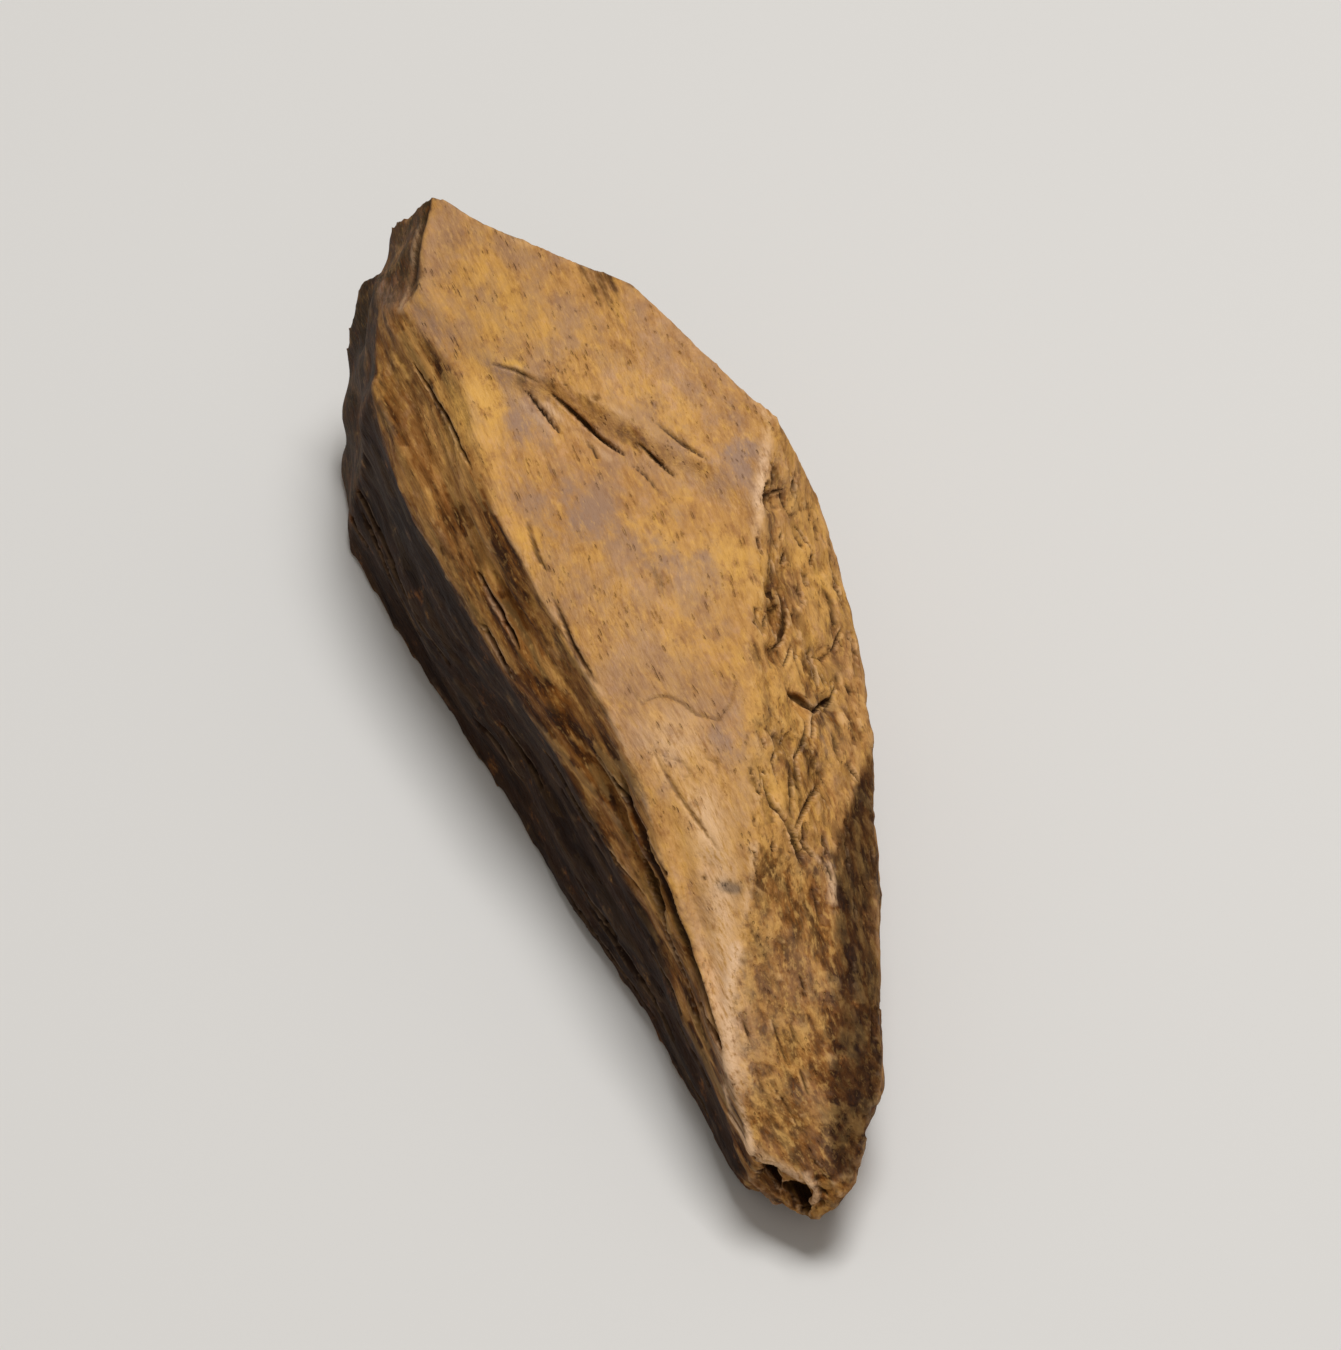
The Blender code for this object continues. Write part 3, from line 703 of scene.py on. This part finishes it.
def tonesOf(points, facesHere, edges):
    # how much resin, bloom, black painted shade, glow and wear each point has, before its relief is known;
    # glow and wear also carry painted light
    tones = {"glow": np.zeros(len(points)), "worn": np.zeros(len(points))}
    # each of these has its column in faceLooks, and the passes that soften it where faces meet
    for name, number, passes in (("resin", 1, 4), ("bloom", 2, 8), ("black", 3, 5)):
        values = np.array([faceLooks[face][number] for face in faceNames])[facesHere]
        tones[name] = spread(values, edges, passes)
    for name, strength, reach, place in tints:
        tones[name] = tones[name] + strength * np.exp(-(offPlace(points, place) / reach) ** 2)
    lowness = chip["lowWaver"] * noiseOver(points, *markSizes["lowEdge"]) - points[:, 2]
    tones["resin"] = tones["resin"] + chip["lowDarkening"] * ramp(lowness, -chip["lowHeight"], 0)
    return tones


def rubbedAndLitEdges(points, height, rubbedAndLit):
    # the pale edges, rubbed and with a painted highlight: how pale each point is, and the height with the
    # edges lifted and smoothed
    even, patches = chip["paleEdgePatches"]
    patchy = even + patches * noiseOver(points, *markSizes["paleEdgeMottle"])
    for halfWidth, strength, lift, line in wornLines:
        width = halfWidth * (1 + chip["paleEdgeSpread"] * patchy)
        closeness = ramp(1 - offLine(points, line)[0] / width, 0, chip["paleEdgeFull"])
        rubbedAndLit = np.maximum(rubbedAndLit, strength * np.clip(patchy * strength, 0, 1) * closeness)
        height = np.maximum(height, lift * closeness + height * (1 - chip["rubFlat"] * closeness))
    return rubbedAndLit, height


def hollowsAndRidges(points, normals, edges):
    # where the finished wood sinks or stands out, close by and over a few mm, 0 to 1; the hollows get painted
    # shade and the ridges a pale that is partly painted highlight
    hollow = np.zeros(len(points))
    ridge = np.zeros(len(points))
    for passes, (hollowLeast, hollowFull, hollowShare), (ridgeLeast, ridgeFull, ridgeShare) in hollowsFound:
        depth = ((spread(points, edges, passes) - points) * normals).sum(1)
        hollow = np.maximum(hollow, hollowShare * ramp(depth, hollowLeast, hollowFull))
        ridge = np.maximum(ridge, ridgeShare * ramp(-depth, ridgeLeast, ridgeFull))
    return hollow, ridge


def makeChip():
    tree, owner, outward = hewnBlock()
    mesh, cracks = crispMesh(tree, owner, outward)
    edges = edgesOf(mesh)
    points = pointsOf(mesh)
    normals = unit(spread(normalsOf(mesh), edges, chip["normalPasses"]))
    facesHere = facesOfPoints(points, normals, tree, owner)[0]
    kindsHere = kindsOfPoints(facesHere)
    weight = {kind: spread((kindsHere == kind).astype(float), edges, chip["facePasses"])
              for kind in reliefShares}
    tones = tonesOf(points, facesHere, edges)
    print("faces found")

    height, fleck = reliefOf(points, weight)
    height = spread(height, edges, 1, chip["reliefSoftness"])
    height = height * (1 - weight["broken"] * nearnessToEdges(facesHere, edges))
    rubbedAndLit, height = rubbedAndLitEdges(points, height, tones["worn"])
    slitDepth, slitDark = cutDepth(points, facesHere, outward)
    crackDepth = offCracks(points, kindsHere, cracks)
    points = points + normals * (height - np.maximum(slitDepth, crackDepth))[:, None]
    settled = spread(points, edges, chip["buttPolish"])
    points = points + (settled - points) * weight["broken"][:, None]
    points[:, 2] = np.maximum(points[:, 2], 0)
    setPoints(mesh, points)
    print("relief cut")

    # painted shade in the hollows, slits and cracks; pale ridges, partly wear and partly painted highlight,
    # dimmed where a face has painted shade
    hollow, ridge = hollowsAndRidges(points, normals, edges)
    cutDark = np.maximum(slitDark, ramp(crackDepth, *chip["crackDark"]))
    tones["hollow"] = np.clip(np.maximum(cutDark, hollow), 0, 1)
    worn = np.maximum(ridge * (1 - chip["shadeCover"] * tones["black"]), rubbedAndLit)
    tones["worn"] = np.clip(worn, 0, 1) * (1 - tones["hollow"])
    tones["fleck"] = fleck
    tones["knifeCut"] = weight["cut"]
    tones["brokenEnd"] = weight["broken"]
    tones["felted"] = weight["felted"]
    for name, values in tones.items():
        paintValue(mesh, name, values)
    mesh.transform(Matrix.Scale(mm, 4))
    mesh.shade_smooth()
    mesh.name = "chip"
    print("chip made:", sum(len(polygon.vertices) - 2 for polygon in mesh.polygons), "triangles")
    return placed("chip", mesh)


def screenTone(red, green, blue):
    # a colour as a screen shows it, 0 to 255, for the shader
    return tuple((channel / 255) ** 2.2 for channel in (red, green, blue)) + (1,)


def nodeMaker(tree):
    def make(kind, inputs=None, **settings):
        node = tree.nodes.new(kind)
        for name, value in settings.items():
            setattr(node, name, value)
        for name, value in (inputs or {}).items():
            if isinstance(value, bpy.types.NodeSocket):
                tree.links.new(value, node.inputs[name])
            else:
                node.inputs[name].default_value = value
        return node
    return make


wood = {
    "yellow": screenTone(208, 154, 81),
    "ochre": screenTone(190, 138, 79),
    "peach": screenTone(208, 157, 110),
    "tan": screenTone(158, 109, 63),
    "brown": screenTone(130, 78, 28),
    "resin": screenTone(60, 34, 11),
    "olive": screenTone(76, 60, 36),
    "mauve": screenTone(161, 126, 101),
    "glow": screenTone(224, 170, 85),
    "flake": screenTone(230, 178, 104),
    # pale of rubbed edges and ridges, partly wear and partly painted highlight, and of painted light
    "worn": screenTone(236, 194, 152),
    # the colour of the painted shade
    "pit": screenTone(32, 17, 6),
    "resinFrom": 0.28,         # share of resin where the wood starts to darken, and where it is dark
    "resinFull": 0.74,
    "feltedEvenness": 0.32,    # how much softer that is on the brown front
    "driftScale": 0.045,       # turns of the grain in a mm, and how far it drifts from straight, in mm
    "drift": 3.5,
    "threads": 0.3,            # how dark the threads of the grain are
    "flecks": (0.6, 0.65),     # how pale and how dark the small chips are
    "felting": (0.5, 0.4),     # how dark and how pale the dashes of the brown front are
    "vessels": 0.18,           # strength of the dark dashes, brown specks and pale specks
    "brownSpecks": 0.55,
    "brownSpecksCut": 0.33,    # how many of those the knife took off
    "paleSpecks": 0.28,
    "hollowShade": 0.88,              # how dark the painted shade in the hollows is
    "roughness": (0.46, 0.7),  # where the knife polished it, and where it is torn
    "mottleRoughness": 0.3,    # how much that varies, and how much rougher the hollows are
    "hollowRoughness": 0.2,
    "gloss": 0.15,
    "threadRelief": 0.05,      # mm, relief too fine for the mesh
    "speckRelief": 0.06,
    "mottleRelief": 0.06,
    "grainRelief": 0.07,
    "vesselRelief": 0.08,
    "cutSmoothness": 0.55,     # how much fainter the specks' relief is on the cut faces
}

# Noise in the wood's colour: along the grain or not, its length and width in mm, detail and roughness
woodNoise = {
    "bands": (True, 30, 2.4, 3.0, 0.55),
    "streaks": (True, 15, 0.95, 5.0, 0.62),
    "threads": (True, 3.2, 0.25, 3.0, 0.6),
    "clouds": (False, 8, 5, 2.0, 0.5),
    "mottle": (False, 2.2, 1.4, 6.0, 0.72),
    "grains": (True, 1.4, 0.45, 3.0, 0.6),
    "speckle": (True, 0.9, 0.27, 2.0, 0.6),
    "patches": (True, 6, 3.4, 6.0, 0.66),
}


def woodMaterial():
    material = bpy.data.materials.new("agarwood")
    material.use_nodes = True
    tree = material.node_tree
    tree.nodes.clear()
    make = nodeMaker(tree)

    def maths(operation, first, second=0.5, clamp=False):
        return make("ShaderNodeMath", {0: first, 1: second}, operation=operation, use_clamp=clamp).outputs[0]

    def times(first, *others):
        for other in others:
            first = maths("MULTIPLY", first, other)
        return first

    def added(first, *others):
        for other in others:
            first = maths("ADD", first, other)
        return first

    def vectorMaths(operation, first, second):
        return make("ShaderNodeVectorMath", {0: first, 1: second}, operation=operation).outputs[0]

    def mixed(share, first, second):
        return make("ShaderNodeMix", {0: share, 6: first, 7: second}, data_type="RGBA").outputs[2]

    def over(colour, name, *shares):
        # lays a tone over the colour, as strong as its shares multiplied
        return mixed(times(*shares), colour, wood[name])

    def painted(name):
        return make("ShaderNodeAttribute", attribute_type="GEOMETRY", attribute_name=name).outputs["Fac"]

    def stretched(vector, along, across):
        return vectorMaths("MULTIPLY", vector, (1 / along, 1 / across, 1 / across))

    def noiseOn(name):
        withGrain, along, across, detail, rough = woodNoise[name]
        vector = stretched(grain if withGrain else place, along, across)
        inputs = {"Vector": vector, "Scale": 1.0, "Detail": detail, "Roughness": rough}
        return make("ShaderNodeTexNoise", inputs).outputs["Fac"]

    def between(value, low, high):
        inputs = {"Value": value, "From Min": low, "From Max": high}
        return make("ShaderNodeMapRange", inputs, interpolation_type="SMOOTHSTEP").outputs[0]

    def swing(value, amount):
        return times(maths("SUBTRACT", value, 0.5), amount)

    place = vectorMaths("MULTIPLY", make("ShaderNodeTexCoord").outputs["Object"], (1 / mm,) * 3)
    drift = make("ShaderNodeTexNoise", {"Vector": place, "Scale": wood["driftScale"], "Detail": 1.0})
    drift = vectorMaths("SUBTRACT", drift.outputs["Color"], (0.5, 0.5, 0.5))
    drift = vectorMaths("MULTIPLY", drift, (0, wood["drift"], wood["drift"]))
    grain = vectorMaths("ADD", place, drift)

    bands, streaks, threads, clouds = (noiseOn(name) for name in ("bands", "streaks", "threads", "clouds"))
    mottle, grains, speckle, patches = (noiseOn(name) for name in ("mottle", "grains", "speckle", "patches"))
    vesselPlace = stretched(grain, 1.8, 0.26)
    vessel = make("ShaderNodeTexVoronoi", {"Vector": vesselPlace, "Scale": 1.0}).outputs["Distance"]
    vessel = times(between(vessel, 0.36, 0.14), between(mottle, 0.5, 0.62))
    resin, bloom, glow, black, hollow, worn = (painted(name) for name in (
        "resin", "bloom", "glow", "black", "hollow", "worn"))
    fleck, knifeCut, brokenEnd, felted = (painted(name) for name in (
        "fleck", "knifeCut", "brokenEnd", "felted"))

    # clean wood runs from yellow to tan, resinous wood from brown to nearly black
    clean = over(wood["yellow"], "ochre", between(clouds, 0.38, 0.6))
    clean = over(clean, "tan", between(mottle, 0.5, 0.66), 0.7)
    clean = over(clean, "peach", between(mottle, 0.48, 0.34), 0.6)
    clean = over(clean, "tan", between(grains, 0.5, 0.68), 0.5)
    clean = over(clean, "glow", between(grains, 0.48, 0.3), 0.5)
    dark = over(wood["brown"], "resin", between(streaks, 0.4, 0.62))
    share = added(resin, swing(streaks, 1.0), swing(bands, 0.6), swing(mottle, 0.25), swing(grains, 0.3))
    evenness = times(felted, wood["feltedEvenness"])
    share = between(share, maths("SUBTRACT", wood["resinFrom"], evenness), added(wood["resinFull"], evenness))
    colour = mixed(share, clean, dark)

    # threads of the grain, small chips, and the dashes of the brown front
    palest, darkest = wood["flecks"]
    darkDashes, paleDashes = wood["felting"]
    colour = over(colour, "brown", between(threads, 0.5, 0.7), wood["threads"])
    colour = over(colour, "flake", maths("MULTIPLY", fleck, palest, True))
    colour = over(colour, "resin", maths("MULTIPLY", fleck, -darkest, True))
    colour = over(colour, "resin", felted, between(grains, 0.5, 0.66), darkDashes)
    colour = over(colour, "flake", felted, between(grains, 0.48, 0.32), paleDashes)
    colour = over(colour, "glow", glow, between(mottle, 0.66, 0.42))

    # mauve grey bloom in soft patches on the cut faces, olive on the broken ones
    colour = over(colour, "mauve", bloom, between(patches, 0.42, 0.64))
    colour = over(colour, "olive", brokenEnd, between(mottle, 0.36, 0.66))

    # vessels and specks, then painted shade by face, ridges rubbed pale with a painted highlight, and painted
    # shade in the hollows
    colour = over(colour, "resin", vessel, wood["vessels"])
    brownSpecks = maths("SUBTRACT", wood["brownSpecks"], times(knifeCut, wood["brownSpecksCut"]))
    colour = over(colour, "brown", between(speckle, 0.56, 0.74), brownSpecks)
    colour = over(colour, "flake", between(speckle, 0.44, 0.28), wood["paleSpecks"])
    # painted shade, darkest on the wall, the turned face and the thick end's underside
    colour = over(colour, "pit", black, between(mottle, 0.25, 0.45))
    # pale ridges and edges, partly rubbed wear and partly painted highlight, and painted light on the lower
    # main face
    colour = over(colour, "worn", worn, between(mottle, 0.75, 0.45), between(threads, 0.75, 0.45))
    # painted shade in the hollows, slits and cracks
    colour = over(colour, "pit", hollow, wood["hollowShade"])

    smooth, torn = wood["roughness"]
    roughness = maths("SUBTRACT", torn, times(knifeCut, torn - smooth))
    roughness = added(roughness, swing(mottle, wood["mottleRoughness"]))
    roughness = maths("ADD", roughness, times(hollow, wood["hollowRoughness"]), clamp=True)

    # fine relief in mm, fainter where the knife smoothed it
    rough = maths("SUBTRACT", 1.0, times(knifeCut, wood["cutSmoothness"]))
    height = added(times(threads, wood["threadRelief"]), times(mottle, wood["mottleRelief"]),
                   times(grains, wood["grainRelief"]), times(speckle, wood["speckRelief"], rough))
    height = maths("SUBTRACT", height, times(vessel, wood["vesselRelief"]))
    bump = make("ShaderNodeBump", {"Height": height, "Strength": 1.0, "Distance": mm})

    shader = make("ShaderNodeBsdfPrincipled", {"Base Color": colour, "Roughness": roughness})
    tree.links.new(bump.outputs["Normal"], shader.inputs["Normal"])
    shader.inputs["Specular IOR Level"].default_value = wood["gloss"]
    output = make("ShaderNodeOutputMaterial")
    tree.links.new(shader.outputs[0], output.inputs["Surface"])
    return material


piece = makeChip()
piece.data.materials.clear()
piece.data.materials.append(woodMaterial())
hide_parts("agarwood_piece")
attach(piece, "root")
print("wood finished")

studio = {
    "floor": (0.74, 0.73, 0.71),
    "floorRoughness": 0.7,
    "floorSize": 3.0,            # metres, as all places and sizes here
    "keyPower": 2.65,            # watts
    "keySize": 0.25,
    "keyPlace": (-0.06, 0.12, 0.6),
    "fillPower": 0.35,
    "fillSize": 0.5,
    "fillPlace": (0.5, -0.1, 0.5),
    "ambient": 0.24,
    "ambientColour": (1.0, 0.93, 0.84),
    "aim": (0.0, 0.0, 0.011),    # where both lights point
}


def areaLight(name, place, size, power):
    light = bpy.data.lights.new(name, "AREA")
    light.shape = "SQUARE"
    light.size = size
    light.energy = power
    lamp = placed(name, light)
    lamp.location = place
    lamp.rotation_euler = (Vector(place) - Vector(studio["aim"])).to_track_quat("Z", "Y").to_euler()


def makeStudio():
    half = studio["floorSize"] / 2
    mesh = bpy.data.meshes.new("floor")
    square = [(-half, -half, 0), (half, -half, 0), (half, half, 0), (-half, half, 0)]
    mesh.from_pydata(square, [], [(0, 1, 2, 3)])
    floor = placed("floor", mesh)
    material = bpy.data.materials.new("floorPaint")
    material.use_nodes = True
    shader = material.node_tree.nodes["Principled BSDF"]
    shader.inputs["Base Color"].default_value = studio["floor"] + (1,)
    shader.inputs["Roughness"].default_value = studio["floorRoughness"]
    mesh.materials.append(material)
    areaLight("key", studio["keyPlace"], studio["keySize"], studio["keyPower"])
    areaLight("fill", studio["fillPlace"], studio["fillSize"], studio["fillPower"])
    world = bpy.data.worlds.new("studio")
    world.use_nodes = True
    background = world.node_tree.nodes["Background"]
    background.inputs["Color"].default_value = studio["ambientColour"] + (1,)
    background.inputs["Strength"].default_value = studio["ambient"]
    bpy.context.scene.world = world
    bpy.context.scene.view_settings.view_transform = "Standard"


camera = {
    "azimuth": 70.0,         # degrees round from looking along +Y
    "elevation": 50.0,       # degrees down
    "lens": 180.0,
    "sensor": 36.0,
    "frameHeight": 0.09,     # metres seen from top to bottom at the chip
    "aim": (-0.0005, 0.0005, 0.0112),
    "nearest": 0.01,
}


def makeCamera():
    turn, rise = math.radians(camera["azimuth"]), math.radians(camera["elevation"])
    away = Vector((math.sin(turn) * math.cos(rise), -math.cos(turn) * math.cos(rise), math.sin(rise)))
    data = bpy.data.cameras.new("camera")
    data.lens = camera["lens"]
    data.sensor_width = camera["sensor"]
    data.clip_start = camera["nearest"]
    viewer = placed("camera", data)
    distance = camera["frameHeight"] * camera["lens"] / camera["sensor"]
    viewer.location = Vector(camera["aim"]) + away * distance
    viewer.rotation_euler = away.to_track_quat("Z", "Y").to_euler()
    bpy.context.scene.camera = viewer


makeStudio()
makeCamera()
print("studio ready")
